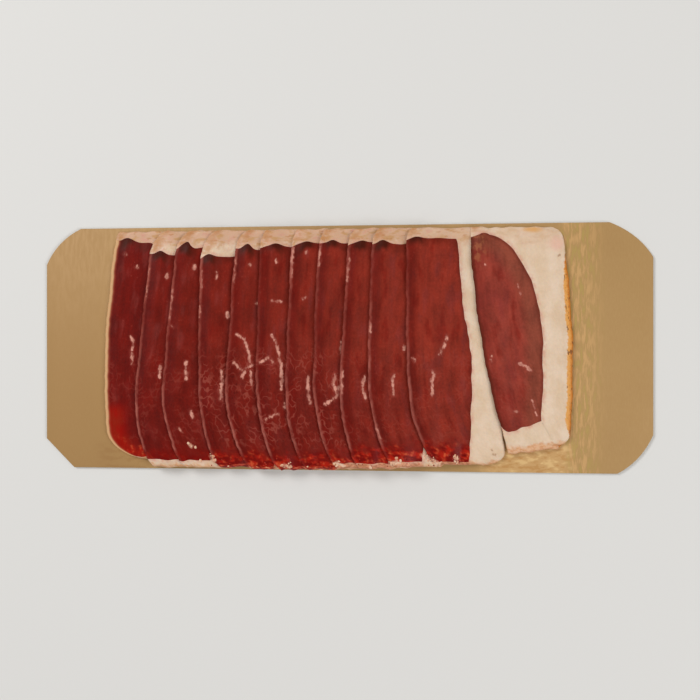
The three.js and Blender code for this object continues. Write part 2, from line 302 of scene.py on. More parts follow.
# Each slice: the x of its lean edge on the middle line, how much further right that is at the far and the
# near gauge line, where its meat ends, and what isn't usual.
MEASURED = ("edge", "far", "near", "meat_far", "meat_near")
SLICES = [
    (
        -99.2, 3, 0.3, 43.5, -45,
        dict(shoulder=-1.8, lobe=2.2, lobe_at=5.5, lobe_width=4, far_corner=(4, 1.2), near_corner=(14, 19)),
    ),
    (
        -83.8, 3.9, -3.9, 38.4, -46,
        dict(curl=3.6, shoulder=-0.4, lobe=1.8, fat_near_band=3.2, lobe_at=4.9, far_corner=(11, 6)),
    ),
    (
        -72, 3.7, -2.8, 40.9, -46.2,
        dict(curl=3.8, shoulder=0.4, lobe=2.7, fat_near_band=3, lobe_at=4, far_corner=(9, 4.4)),
    ),
    (-58, 0.8, 0.2, 37.4, -47.8, dict(curl=2.3, lobe=0.8, lobe_at=3.7, far_corner=(12, 6.5))),
    (-45.5, 2.4, -2.4, 39.9, -48.4, dict(curl=4, shoulder=-0.8, lobe=2.5, far_corner=(8.5, 5))),
    (-33.6, 1.2, -0.5, 41.2, -48.4, dict(curl=2.9, shoulder=0.6, lobe=1.3, lobe_at=6.5)),
    (-21.1, 1.5, -1.2, 42.3, -48.2, dict(curl=2.8, shoulder=1.6, lobe_at=6.1)),
    (-9.9, 1.5, 0, 42.4, -46.6, dict(curl=2.6, shoulder=0.2, lobe=1.1, fat_near_band=2.2)),
    (1.4, 2.2, -1.3, 42.4, -46.6, dict(curl=2.7, lobe=0.9, fat_near_band=2.2)),
    (12.3, 1.2, 0.8, 41.8, -45.8, dict(curl=2.7, shoulder=0.2, lobe=1.5, fat_near_band=2.2, lobe_at=4.2)),
    (
        27.7, -0.2, 1.3, 44, -45.8,
        dict(curl=3.4, lobe=0.8, lobe_at=4, width=35.8, fat_band=10.2, skin_flare=3.9,
             skin_corner=(5.5, 9), meat_far_corner=(3, 0.4), meat_flare=1, step=2.7),
    ),
    (
        57.9, -4.4, 8, 45.4, -34.9,
        dict(lobe=0.6, width=35.6, skin_follow=0.12, fat_band=11.8, fat_near_band=7.7, fat_near_rise=3.8,
             far_corner=(3, 0.4), near_corner=(2, 0.4), meat_far_corner=(42, 18), near_rise=5.7,
             near_lift=4),
    ),
]
SHOULDER_WIDTH, LIFT_SHARE = 3.5, 0.2  # how far the shoulder and the lift reach from the lean edge
LAST = len(SLICES)


def smooth(value, start=0.0, end=1.0):
    share = np.clip((value - start) / (end - start), 0, 1)
    return share * share * (3 - 2 * share)


def bowed_line(middle, far, near):
    """A curve x(y): middle on the middle line, and that much further right at the gauge lines."""
    return lambda y: middle + (far - near) / 2 * (y / GAUGE) + (far + near) / 2 * (y / GAUGE) ** 2


def corner_inset(into, corner):
    """How far a rounded corner draws an edge in, this far into its reach."""
    reach, inset = corner
    return inset * (1 - np.sqrt(1 - np.clip(into / reach, 0, 1) ** 2))


def wander(seed, shortest, longest):
    """A line that strays smoothly by up to about one either side of nought."""
    draw = np.random.default_rng(seed)
    lengths = np.exp(draw.uniform(math.log(shortest), math.log(longest), 7))
    turns = draw.uniform(0, math.tau, 7)
    return lambda s: sum(np.sin(math.tau * s / w + t) for w, t in zip(lengths, turns)) / 3.2


def swell(seed, shortest, longest):
    """The same over a surface."""
    draw = np.random.default_rng(seed)
    lengths = np.exp(draw.uniform(math.log(shortest), math.log(longest), 9))
    ways, turns = draw.uniform(0, math.pi, 9), draw.uniform(0, math.tau, 9)
    return lambda x, y: (
        sum(
            np.sin(math.tau * (x * math.cos(a) + 0.6 * y * math.sin(a)) / w + t)
            for w, a, t in zip(lengths, ways, turns)
        )
        / 3.6
    )


def shape_of(number, own):
    """The outline of a slice as functions of x or y, with the unevenness of the real cut."""
    s = SimpleNamespace(**{**USUAL, **own})
    near_line = s.meat_near - s.fat_near_band
    bow = bowed_line(s.edge, s.far, s.near)
    skin_far, skin_near = s.far * s.skin_follow - s.skin_bow, s.near * s.skin_follow - s.skin_bow
    skin_line = bowed_line(s.edge + s.width, skin_far, skin_near + s.skin_flare)
    meat_line = bowed_line(s.edge + s.width - s.fat_band, skin_far, skin_near + s.meat_flare)
    cut, cut_fine = wander(number, 16, 50), wander(number + 20, 3, 9)
    skin_wave, skin_fine = wander(number + 40, 12, 40), wander(number + 60, 2.5, 8)
    far_wave, near_wave = wander(number + 80, 5, 18), wander(number + 100, 5, 16)
    meat_wave = wander(number + 120, 5, 25)
    s.lean_line = lambda y: bow(y) + s.curl * (np.maximum(0, CURL_START - y) / (CURL_START + GAUGE)) ** 2
    s.lean_edge = lambda y: (
        s.lean_line(y)
        + corner_inset(y - s.fat_far_end + s.far_corner[0], s.far_corner)
        + corner_inset(near_line + s.near_corner[0] - y, s.near_corner)
        + STRAY.lean * cut(y)
        + STRAY.lean_fine * cut_fine(y)
    )
    s.skin_edge = lambda y: (
        skin_line(y)
        - corner_inset(y - s.fat_far_end + SKIN_FAR_CORNER[0], SKIN_FAR_CORNER)
        - corner_inset(near_line + s.fat_near_rise + s.skin_corner[0] - y, s.skin_corner)
        + STRAY.skin * skin_wave(y)
        + STRAY.skin_fine * skin_fine(y)
    )
    s.meat_edge = lambda y: (
        meat_line(y)
        - s.step * smooth(y, *STEP_SPAN)
        - corner_inset(y - s.meat_far + s.meat_far_corner[0], s.meat_far_corner)
        + STRAY.meat * meat_wave(y)
    )
    s.far_end = lambda x: s.fat_far_end + STRAY.end * far_wave(x)
    s.near_end = lambda x: (
        near_line
        + s.fat_near_rise * np.clip((x - s.lean_line(near_line)) / (s.width - 5), 0, 1)
        + STRAY.end * near_wave(x)
    )
    s.near_line = near_line

    def meat_far_end(run, x):
        lowered = s.shoulder * np.clip(1 - run / SHOULDER_WIDTH, 0, 1) ** 2
        lobe = s.lobe * np.exp(-(((run - s.lobe_at) / s.lobe_width) ** 2))
        return s.meat_far - lowered + lobe + STRAY.meat * far_wave(x + 40)

    s.meat_far_end = meat_far_end
    s.meat_near_end = lambda across, x: (
        s.meat_near
        + s.near_rise * across
        + s.near_lift * np.clip(1 - across / LIFT_SHARE, 0, 1) ** 2
        + STRAY.end * near_wave(x)
    )
    return s


grid_x = np.arange(CARD.length / CELL + 1) * CELL - CARD.length / 2
grid_y = np.arange(CARD.width / CELL + 1) * CELL - CARD.width / 2
GRID_X, GRID_Y = np.meshgrid(grid_x, grid_y)


def height_at(ground, x, y):
    column = np.clip((x + CARD.length / 2) / CELL, 0, len(grid_x) - 1.001)
    row = np.clip((y + CARD.width / 2) / CELL, 0, len(grid_y) - 1.001)
    c, r = column.astype(int), row.astype(int)
    u, v = column - c, row - r
    near_side = ground[r, c] * (1 - u) + ground[r, c + 1] * u
    far_side = ground[r + 1, c] * (1 - u) + ground[r + 1, c + 1] * u
    return near_side * (1 - v) + far_side * v


def shifted(ground, cells, axis):
    """The ground moved by whole cells, with its border row repeated."""
    places = np.clip(np.arange(ground.shape[axis]) - cells, 0, ground.shape[axis] - 1)
    return np.take(ground, places, axis)


def draped(ground):
    """The surface of a slice laid on this ground: level past an edge, then bending down along a parabola."""
    cells = round(BEND_REACH / CELL)
    for axis in (1, 0):
        drops = [BEND * max(0.0, abs(k) * CELL - BEND_MARGIN) ** 2 for k in range(-cells, cells + 1)]
        ground = np.max([shifted(ground, k, axis) - drops[k + cells] for k in range(-cells, cells + 1)], 0)
    for axis in (1, 0):
        for _ in range(SOFTENING):
            ground = (shifted(ground, 1, axis) + 2 * ground + shifted(ground, -1, axis)) / 4
    return ground


def lay(number, shape, ground):
    """Lets the slice down on the ground. Returns the heights of its two faces, and raises the ground."""
    rest = draped(ground)
    wave = swell(number + 200, 12, 40)

    def faces(x, y, rounded=True):
        edge = np.minimum(x - shape.lean_edge(y), shape.skin_edge(y) - x)
        past_meat = smooth(y, shape.meat_far - 3, shape.meat_far + 1)
        edge_share = EDGE_SHARE + (FAR_EDGE_SHARE - EDGE_SHARE) * past_meat
        thick = THICKNESS * (edge_share + (1 - edge_share) * smooth(edge, 0, EDGE_TAPER))
        under = height_at(rest, x, y) + GAP
        thick = thick * (1 - FAR_THINNING * smooth(y, *FAR_ZONE))
        over = under + thick + SURFACE_WAVE * wave(x, y)
        if not rounded:
            return under, over
        rim = np.minimum(edge, np.minimum(shape.far_end(x) - y, y - shape.near_end(x)))
        round_off = 1 - np.sqrt(1 - (1 - np.clip(rim / RIM, 0, 1)) ** 2)
        return under + RIM_UNDER * thick * round_off, over - RIM_OVER * thick * round_off

    inside = (
        (GRID_X >= shape.lean_edge(GRID_Y))
        & (GRID_X <= shape.skin_edge(GRID_Y))
        & (GRID_Y <= shape.far_end(GRID_X))
        & (GRID_Y >= shape.near_end(GRID_X))
    )
    ground[inside] = faces(GRID_X, GRID_Y, False)[1][inside]
    return faces


ground = np.full(GRID_X.shape, float(CARD.thickness))
shapes, laid = {}, {}
for number, (*measured, own) in enumerate(SLICES, 1):
    shapes[number] = shape_of(number, dict(zip(MEASURED, measured), **own))
    laid[number] = lay(number, shapes[number], ground)


def plate(points, faces_at):
    """A closed plate over rows of plan points. Turning from a row's way to a column's is anticlockwise."""
    rows, columns = points.shape[:2]
    x, y = points[..., 0].ravel(), points[..., 1].ravel()
    under, over = faces_at(x, y)
    corners = np.vstack([np.column_stack([x, y, over]), np.column_stack([x, y, under])])
    at = np.arange(rows * columns).reshape(rows, columns)
    a, b, c, d = at[:-1, :-1], at[1:, :-1], at[1:, 1:], at[:-1, 1:]
    top = np.stack([a, b, c, d], -1).reshape(-1, 4)
    below = rows * columns
    quads = [top, top[:, ::-1] + below]
    for line in (at[:, 0], at[-1, :], at[::-1, -1], at[0, ::-1]):
        p, q = line[:-1], line[1:]
        quads.append(np.stack([q, p, p + below, q + below], -1))
    return corners, np.vstack(quads)


# ---- The lean meat ----
# The breast muscle, cured and cold-smoked: dark red, close-grained along the slice, dried nearly brown at
# its far end, wet and bright red at its near end, with fine white marbling. A pale line of painted highlight
# marks the cut edge.

FINE, COARSE = 0.5, 1.2  # cells where the meat shows, and where the next slice hides it
SHOWING = 15.5  # the width that shows
ROW = 0.55  # from one row of points to the next
RIM_COLUMNS, RIM_END = (0, 0.1, 0.26, 0.5, 0.85), 1.3  # finest along the rounded edge
CORNER_ROWS, FIRST_CORNER_ROWS = 14, 36  # around the near corner, which on the first slice is broad

# Strokes of marbling: half the width, then points that count from the slice's lean edge and the middle line.
MARBLING = {
    1: [
        (0.35, (11.0, 5), (12.5, 3), (12.0, -1.5), (12.3, -6.5)), (0.4, (11.4, 34), (11.5, 33)),
        (0.3, (5.4, 39), (5.9, 38.4)),
    ],
    2: [
        (0.6, (8.8, 30), (8.9, 28.8)), (0.5, (10.2, -7.4), (10.5, -12)), (0.2, (0.7, 33), (0.7, 21)),
    ],
    3: [
        (0.6, (8.6, 33.5), (8.7, 32.5)), (0.4, (9.2, -5.5), (10.0, -13)), (0.2, (0.7, 24), (0.7, 12)),
        (0.2, (1.8, 9), (2.8, 8.4)), (0.35, (11.6, -25.5), (12, -28.5)), (0.25, (5.6, -33), (6.3, -34.5)),
    ],
    4: [
        (0.55, (11.8, 14.6), (12.2, 12.8)), (0.5, (9.8, -9.5), (10.0, -14), (9.2, -21)),
        (0.25, (7.2, 31), (7.3, 28.5)), (0.35, (0.7, 31), (0.8, 25)), (0.3, (0.6, 17), (0.6, 12.5)),
    ],
    5: [
        (0.4, (3.5, 5.5), (6.6, 3.5), (8.7, -1), (9.6, -6.5), (7.8, -9.5), (6.5, -12)),
        (0.35, (3.2, -6), (6.7, -9), (10.8, -6.7)), (0.35, (9.9, -9.5), (10.8, -15.5)),
        (0.3, (10.0, 18.2), (12.5, 18)), (0.35, (6.8, 34.3), (7.0, 33.4)), (0.15, (0.7, 37), (0.7, 27)),
    ],
    6: [
        (0.4, (6.5, 5.4), (8.1, 1.4), (9.6, -3)),
        (0.5, (9.8, -4), (10.4, -8), (10.7, -11.7), (10.5, -16.5)), (0.28, (6.0, 19), (9.7, 19)),
        (0.3, (1.5, -6), (4.9, -4), (7.4, -6)), (0.28, (2.5, -29), (8.1, -26.7)),
        (0.4, (11.3, -22.6), (11.1, -24)), (0.2, (6.8, 36), (7, 34.8)),
    ],
    7: [
        (0.35, (6.1, 20), (6.9, 20.1)), (0.45, (9.3, -11.7), (9.2, -16), (9.7, -19.7), (10.3, -22.4)),
        (0.4, (0.7, 40.5), (0.7, 29)), (0.25, (6.5, 38.8), (6.6, 38.2)),
    ],
    8: [
        (0.5, (8.8, -11), (8.4, -14.6), (9.5, -19), (7.4, -21), (4.7, -22.5)),
        (0.4, (11.7, -10.5), (11.1, -15), (9.7, -19)), (0.4, (12.4, 8.4), (12.6, 7.2)),
        (0.3, (0.7, 40.5), (0.7, 33)), (0.3, (10.9, 2.5), (11, -2.5)),
    ],
    9: [
        (0.42, (9.8, -11.6), (9.2, -15.2), (9.9, -19), (10.5, -21)), (0.4, (12.2, 7.2), (12.2, 5.6)),
        (0.35, (0.7, 36), (0.7, 27)), (0.4, (0.8, -9.5), (0.8, -18)),
    ],
    10: [
        (0.4, (10.3, -10.5), (9.4, -13), (9.8, -16.6), (10.0, -18.8)), (0.4, (14.5, 0.6), (14.6, -0.8)),
        (0.35, (0.7, 10), (0.8, 6.5)), (0.3, (0.7, -31), (0.9, -36)),
    ],
    11: [
        (0.4, (16.5, 5.3), (15.4, 2), (13.9, -0.8), (13.2, -2.6)),
        (0.5, (10.2, -9.4), (10.3, -11.5), (9.8, -14.4), (9.6, -18.7)),
        (0.2, (2, -4), (3.2, -4.6), (3, -6)),
    ],
    12: [
        (0.55, (13.5, -6.4), (15.6, -7.2), (17.0, -8.7)), (0.25, (7.0, -25.4), (8.2, -25.4)),
        (0.4, (21, 35.4), (21.8, 33.2)), (0.15, (17.4, 25.5), (17.9, 21.5)), (0.2, (3.3, -3), (2.3, -5.5)),
        (0.2, (5.2, 33.4), (5.3, 32.8)), (0.15, (15.3, -21), (15.6, -27)),
    ],
}


def line_distance(x, y, line):
    """Distance from each place to a line of plan points."""
    nearest = np.full(x.shape, 99.0)
    for (x0, y0), (x1, y1) in zip(line, line[1:]):
        dx, dy = x1 - x0, y1 - y0
        t = np.clip(((x - x0) * dx + (y - y0) * dy) / max(dx * dx + dy * dy, 1e-9), 0, 1)
        nearest = np.minimum(nearest, np.hypot(x - x0 - t * dx, y - y0 - t * dy))
    return nearest


def stroke_distance(x, y, strokes):
    """How far each place is outside the nearest stroke. It is below nought inside one."""
    return np.min([line_distance(x, y, line) - half_width for half_width, *line in strokes], 0)


def meat_points(shape, number):
    """Plan points of the meat, in rows from its far end to its near end, each from the lean edge across."""
    width = shape.width - shape.fat_band
    showing = width if number == LAST else SHOWING
    seen = np.linspace(RIM_END, showing, round((showing - RIM_END) / FINE) + 1)
    hidden = np.linspace(showing, width, max(2, round((width - showing) / COARSE) + 1))[1:]
    across = np.unique(np.concatenate([RIM_COLUMNS, seen, hidden]) / width)
    reach = shape.near_corner[0]
    length = shape.meat_far - shape.meat_near
    crowded = FIRST_CORNER_ROWS if number == 1 else CORNER_ROWS
    straight = np.linspace(0, length - reach, round((length - reach) / ROW) + 1)
    round_corner = length - reach * np.linspace(1, 0, crowded + 1)[1:] ** 2
    along = np.concatenate([straight, round_corner]) / length
    span = shape.meat_edge(shape.meat_far) - shape.lean_edge(shape.meat_far)
    near_start = shape.lean_edge(shape.meat_near + shape.near_lift)
    near_span = shape.meat_edge(shape.meat_near) - near_start
    far_y = shape.meat_far_end(across * span, shape.lean_edge(shape.meat_far) + across * span)
    near_y = shape.meat_near_end(across, near_start + across * near_span)
    y = far_y[None, :] * (1 - along[:, None]) + near_y[None, :] * along[:, None]
    x = shape.lean_edge(y) * (1 - across) + shape.meat_edge(y) * across
    return np.stack([x, y], -1)


lean = Finish(
    "duck_lean_meat",
    Specular_IOR_Level=0.09,
    Subsurface_Weight=0.05,
    Subsurface_Radius=(1, 0.2, 0.1),
    Subsurface_Scale=0.8 * MM,
)
along_y = lean.node("ShaderNodeSeparateXYZ", {0: lean.place()}).outputs[1]
tone, first, last, lobe = lean.measures("tone", "first", "last", "lobe")
edge_mm, far_mm, near_mm, side_mm = lean.measures("edge_mm", "far_mm", "near_mm", "side_mm")
vein_mm, scrap_mm, edge_highlight = lean.measures("vein_mm", "scrap_mm", "edge_highlight")
flecked, soaked, mottled, threaded = lean.measures("flecked", "soaked", "mottled", "threaded")
grain_long = lean.grain(1.2, 24, 0, 3, 0.55)
grain_broad = lean.grain(3.4, 26, 4)
blotch = lean.grain(6, 9, 9)
pepper = lean.grain(0.9, 1.1, 15, 2, 0.6)
mauve = lean.grain(4, 13, 27)
mottles = lean.grain(1.8, 2.2, 47)
flecks = lean.grain(3.6, 2.3, 52)
# the muscle's red, from the first slice to the last, in long mauve and deep red patches
lean.base = lean.mix(tone, colour(105, 13, 4), colour(138, 45, 30))
lean.coat(lean.times(last, 0.5), 150, 66, 54)
lean.coat(lean.fade(mauve, 0.5, 0.72, 0, 0.6), 126, 46, 40)
lean.coat(lean.fade(mauve, 0.47, 0.3, 0, 0.55), 112, 14, 3)
# darker just inside the edge and towards the wet end, and paler beside the last slice's fat
lean.coat(lean.fade(edge_mm, 6, 2.4, 0, lean.fade(last, 0, 1, 0.65, 0.35)), 94, 8, 2)
lean.coat(lean.fade(side_mm, 9.5, 3.5, 0, lean.fade(last, 0, 1, 0, 0.75)), 132, 68, 50)
lean.coat(lean.fade(along_y, 4, -24, 0, lean.fade(tone, 0.7, 1, 0.5, 0.1)), 104, 12, 5)
lean.shade(
    lean.plus(
        lean.fade(grain_long, 0.25, 0.75, -0.07, 0.07),
        lean.fade(blotch, 0.3, 0.7, -0.15, 0.15),
        lean.fade(grain_broad, 0.3, 0.7, -0.08, 0.08),
        lean.fade(pepper, 0.25, 0.75, 0.9, 1.1),
    )
)
specks = lean.times(lean.fade(pepper, 0.62, 0.76), lean.fade(blotch, 0.46, 0.6, 0, 0.4))
lean.coat(specks, 150, 72, 58)
# dried brown at the far end, most of all on its lobe, and thinly along the fat
ragged = lean.plus(far_mm, lean.fade(blotch, 0.3, 0.7, -1, 1))
crust = lean.times(lean.fade(ragged, 4.4, 1.2), lean.fade(lobe, 0, 0.8, 0.35, 1))
lean.coat(lean.times(crust, lean.fade(last, 0, 1, 1, 0.3)), 70, 20, 6)
lean.coat(lean.times(mottled, lean.fade(mottles, 0.42, 0.62, 0, 0.45)), 174, 104, 66)
lean.coat(lean.fade(side_mm, 1.6, 0.2, 0, 0.5), 96, 34, 22)
# fine threads of fat and dark dots between the bigger strokes, low on the middle slices
midway = lean.maths("SUBTRACT", lean.grain(2.8, 3.4, 71, 1, 0.4), 0.5)
threads = lean.fade(lean.maths("ABSOLUTE", midway), 0.05, 0.005)
lean.coat(lean.times(threads, lean.fade(blotch, 0.42, 0.58, 0.05, 0.5), threaded), 158, 78, 64)
lean.coat(lean.times(lean.fade(pepper, 0.4, 0.28, 0, 0.5), threaded), 74, 8, 3)
# marbling: a soft halo and a paler core, both frayed
fray = lean.plus(
    lean.fade(lean.grain(1.6, 2.4, 21, 2, 0.6), 0.25, 0.75, -0.45, 0.45),
    lean.fade(lean.grain(0.7, 1, 23, 2, 0.6), 0.2, 0.8, -0.1, 0.1),
)
frayed = lean.plus(vein_mm, fray)
strong = lean.fade(lean.grain(3, 3.5, 29, 1), 0.35, 0.6, 0.45, 1)
lean.coat(lean.fade(frayed, 1, -0.2, 0, 0.45), 150, 70, 58)
lean.coat(lean.times(lean.fade(frayed, 0.3, -0.35), strong), 216, 152, 134)
# the wet near end: dark juice, bright where it has pooled in the first slice's corner, with orange flecks
waves = lean.grain(4, 3.2, 33)
reach = lean.plus(near_mm, lean.fade(waves, 0.25, 0.75, -2.2, 2.2))
juicy = lean.maths("MAXIMUM", lean.fade(reach, 10, 3), soaked)
juice = lean.mix(lean.grain(2.4, 2.6, 41, 2, 0.6), colour(98, 4, 2), colour(130, 14, 6))
pooled = lean.mix(lean.fade(blotch, 0.35, 0.65), colour(158, 12, 2), colour(146, 28, 8))
juice = lean.mix(soaked, juice, pooled)
fleck_share = lean.times(lean.fade(flecks, 0.4, 0.64), lean.fade(reach, 10, 3, 0, 0.95), flecked)
fleck = lean.mix(lean.fade(mottles, 0.48, 0.7, 0, 0.8), colour(172, 30, 12), colour(212, 92, 54))
lean.coat(juicy, lean.mix(fleck_share, juice, fleck))
# scraps of fat at the near end
lean.coat(lean.fade(lean.plus(scrap_mm, fray), 0.7, -0.5, 0, 0.85), 214, 158, 132)
# the pale line of the cut edge, a painted highlight, broad and cream on the first slice,
# and a dark rim on the last
highlight_share = lean.times(
    lean.fade(edge_mm, 1.7, 0.5),
    lean.fade(lean.grain(2, 4.6, 60, 2, 0.55), 0.36, 0.6, 0.4, 1.1),
    edge_highlight,
    lean.fade(juicy, 0.1, 0.9, 1, 0.2),
)
highlight_share = lean.maths("MAXIMUM", highlight_share, lean.times(first, lean.fade(edge_mm, 2.8, 1.1, 0, 0.95)))
highlight_tone = lean.mix(lean.fade(along_y, 6, -14), colour(154, 76, 64), colour(166, 92, 80))
first_highlight_tone = lean.mix(lean.fade(edge_mm, 2, 0.9), colour(156, 70, 48), colour(212, 168, 122))
lean.coat(highlight_share, lean.mix(first, highlight_tone, first_highlight_tone))
lean.coat(lean.fade(edge_mm, 1.9, 0.4, 0, lean.fade(last, 0, 1, 0, 0.75)), 84, 28, 12)
lean.set("Base Color", lean.base)
dullness = lean.plus(lean.fade(juicy, 0, 1, 0.5, 0.3), lean.fade(grain_long, 0.2, 0.8, -0.05, 0.07))
lean.set("Roughness", dullness)
surface = lean.plus(lean.times(grain_long, 0.8), lean.times(pepper, 0.5))
lean.relief(lean.plus(surface, lean.times(flecks, lean.fade(near_mm, 7, 3, 0, 0.5))), 0.16, 0.6)

# How strong the painted highlight along a slice's edge is, from its far end to its near end.
HIGHLIGHT_AT = (-45, -30, -10, 10, 25, 45)  # distances nearer than the middle line
EDGE_HIGHLIGHT = {
    1: (0.9, 0.9, 0.9, 0.9, 0.9, 0.9),
    2: (0.7, 0.75, 0.6, 0.6, 0.85, 0.6),
    3: (0.5, 0.7, 0.7, 0.4, 0.9, 0.8),
    4: (0.8, 0.9, 0.6, 0.4, 0.6, 0.8),
    5: (0.6, 0.6, 0.4, 0.3, 0.8, 0.9),
    6: (0.1, 0.1, 0.2, 0.3, 0.8, 0.9),
    7: (0.9, 0.8, 0.4, 0.3, 0.7, 0.7),
    8: (0.8, 0.5, 0.3, 0.4, 0.7, 0.7),
    9: (0.8, 0.6, 0.4, 0.8, 0.6, 0.6),
    10: (0.5, 0.3, 0.8, 0.8, 0.7, 0.6),
    11: (0.15, 0.25, 0.5, 0.7, 0.7, 0.3),
    12: (0, 0, 0, 0, 0, 0),
}

# Scraps of fat along the near ends: half the width, then points on the card's own axes.
SCRAPS = [
    (0.6, (-53, -44.4), (-52.4, -45.4)),
    (0.5, (-61.5, -39.6), (-61, -40.4)),
    (0.5, (-22.6, -47.6), (-20.4, -48.4)),
    (0.5, (-0.4, -46.4), (1.6, -47.6)),
    (0.6, (21, -46.8), (23.4, -45.6), (25, -46.8)),
    (0.8, (34, -43.6), (35.8, -44.4)),
    (0.9, (36.5, -45.2), (39.5, -46.4)),
    (0.3, (46.6, -44.2), (48, -44.6)),
]

meats = {}
for number, shape in shapes.items():
    points = meats[number] = meat_points(shape, number)
    corners, quads = plate(points, laid[number])
    x, y = corners[:, 0], corners[:, 1]
    u = x - shape.lean_line(y)
    from_edge = x - shape.lean_edge(y)
    same = np.ones(len(x))
    in_near_corner = smooth(from_edge, 14.0, 5.0) * smooth(y, -19, -27)
    in_far_corner = smooth(from_edge, 8.0, 3.0) * smooth(y, 30, 37)
    measures = dict(
        lie=np.column_stack([u, y, 10.0 * number * same]),
        tone=((number - 1) / (LAST - 1)) ** 0.8 * same,
        first=(number == 1) * same,
        last=(number == LAST) * same,
        edge_mm=from_edge,
        far_mm=line_distance(x, y, points[0]),
        side_mm=line_distance(x, y, points[::4, -1]),
        vein_mm=stroke_distance(u, y, MARBLING[number]),
        scrap_mm=stroke_distance(x, y, SCRAPS),
        near_mm=y - shape.near_end(x) + 20 * (number == LAST) - 2 * (8 < number < LAST),
        soaked=0.9 * in_near_corner * (number == 1),
        mottled=in_far_corner * (number == LAST),
        # how strong the painted highlight along the cut edge is here
        edge_highlight=np.interp(-y, HIGHLIGHT_AT, EDGE_HIGHLIGHT[number]),
        threaded=smooth(y, 6, -10) * smooth(y, -44, -36) * (1.0 if 3 < number < 9 else 0.35),
        flecked=(0.25 if number in (2, 3) else 1.0) * same,
        lobe=np.exp(-(((from_edge - shape.lobe_at) / USUAL["lobe_width"]) ** 2)),
    )
    label = f"slice_{number:02d}_lean"
    add_piece(f"duck_{label}", corners, quads, lean, (label,), measures)

# ---- The fat and the skin ----
# The breast's layer of fat, cream and smooth, which wraps the meat at its far end, its skin side and its
# near end. Smoking has turned the thin skin at its outside golden orange, with darker pores.

OUTER_STEPS = (0, 0.1, 0.26, 0.5, 0.85, 1.3)  # finest along the slice's perimeter
TUCK = 0.15  # of the fat under the meat's edge, so that no seam opens
SEAM = 0.06  # by which the fat is thinner there, above and below
SKIN_WIDTH = 2.6
PERIMETER_STEPS, BAND_STEPS, LAST_BAND_STEPS = 400, 14, 22
RIM_LIMIT = 0.45  # share of a narrow band that the rim's steps may take


def running_share(line):
    """How far along a line each of its points is, from 0 to 1."""
    runs = np.concatenate([[0], np.cumsum(np.linalg.norm(np.diff(line, axis=0), axis=1))])
    return runs / runs[-1]


def fat_points(shape, meat, number):
    """Plan points of the fat, in rows from the meat's border out to the slice's perimeter."""
    border = [meat[0], meat[:, -1], meat[-1, ::-1]]
    far_y, near_y = shape.fat_far_end, shape.near_line
    share = np.linspace(0, 1, PERIMETER_STEPS)
    down = far_y + (near_y + shape.fat_near_rise - far_y) * share
    far_x = shape.lean_edge(far_y) + (shape.skin_edge(far_y) - shape.lean_edge(far_y)) * share
    skin_start = shape.skin_edge(near_y + shape.fat_near_rise)
    near_x = skin_start + (shape.lean_edge(near_y) - skin_start) * share
    far_row = np.column_stack([far_x, shape.far_end(far_x)])
    near_row = np.column_stack([near_x, shape.near_end(near_x)])
    skin_side = np.column_stack([shape.skin_edge(down), down])
    skin_side[0], skin_side[-1] = far_row[-1], near_row[0]
    perimeter = [far_row, skin_side, near_row]
    inner, outer = [], []
    for i, (in_line, out_line) in enumerate(zip(border, perimeter)):
        steps, outs = running_share(in_line), running_share(out_line)
        matched = np.column_stack([np.interp(steps, outs, out_line[:, k]) for k in (0, 1)])
        inner.append(in_line if i == 0 else in_line[1:])
        outer.append(matched if i == 0 else matched[1:])
    inner, outer = np.vstack(inner), np.vstack(outer)
    along = np.vstack([inner[1] - inner[0], inner[2:] - inner[:-2], inner[-1] - inner[-2]])
    along /= np.linalg.norm(along, axis=1)[:, None]
    inner = inner - TUCK * np.column_stack([-along[:, 1], along[:, 0]])
    band = np.linalg.norm(outer - inner, axis=1)
    rim = np.array(OUTER_STEPS)[None, :] * np.minimum(1, RIM_LIMIT * band / OUTER_STEPS[-1])[:, None]
    band_steps = LAST_BAND_STEPS if number == LAST else BAND_STEPS
    spread = np.linspace(0, 1, band_steps + 1)[:-1][None, :]
    share = np.hstack([spread * (1 - rim[:, -1:] / band[:, None]), 1 - rim[:, ::-1] / band[:, None]])
    points = inner[:, None, :] + (outer - inner)[:, None, :] * share[..., None]
    for end in (0, -1):
        points[end, :, 0] = shape.lean_edge(points[end, :, 1])
    points[..., 0] = np.maximum(points[..., 0], shape.lean_edge(points[..., 1]))
    return points


fat = Finish(
    "duck_fat_and_skin",
    Specular_IOR_Level=0.3,
    Subsurface_Weight=0.12,
    Subsurface_Radius=(1, 0.55, 0.3),
    Subsurface_Scale=1.2 * MM,
)
border_mm, skin_mm, far_mm, near_mm = fat.measures("border_mm", "skin_mm", "far_mm", "near_mm")
scrap_mm, spot_mm, skin_width, last = fat.measures("scrap_mm", "spot_mm", "skin_width", "last")
browned, bloody, golden, pinkish = fat.measures("browned", "bloody", "golden", "pinkish")
cloud = fat.grain(6, 8, 0, 3)
grain = fat.grain(0.9, 1.2, 6, 2, 0.6)
blush = fat.grain(2.6, 3.4, 12, 2, 0.6)
layer = fat.grain(5, 2.4, 18)
streak = fat.grain(3.4, 1.6, 25)
lumps = fat.grain(1.9, 1.2, 31, 2, 0.55)
fat.base = fat.mix(fat.fade(cloud, 0.3, 0.7), colour(226, 202, 178), colour(216, 188, 158))
fat.shade(fat.fade(grain, 0.2, 0.8, 0.96, 1.04))
beside_meat = fat.times(fat.fade(border_mm, 2, 0.1), fat.fade(blush, 0.35, 0.65, 0.1, 0.7))
fat.coat(beside_meat, 206, 142, 122)
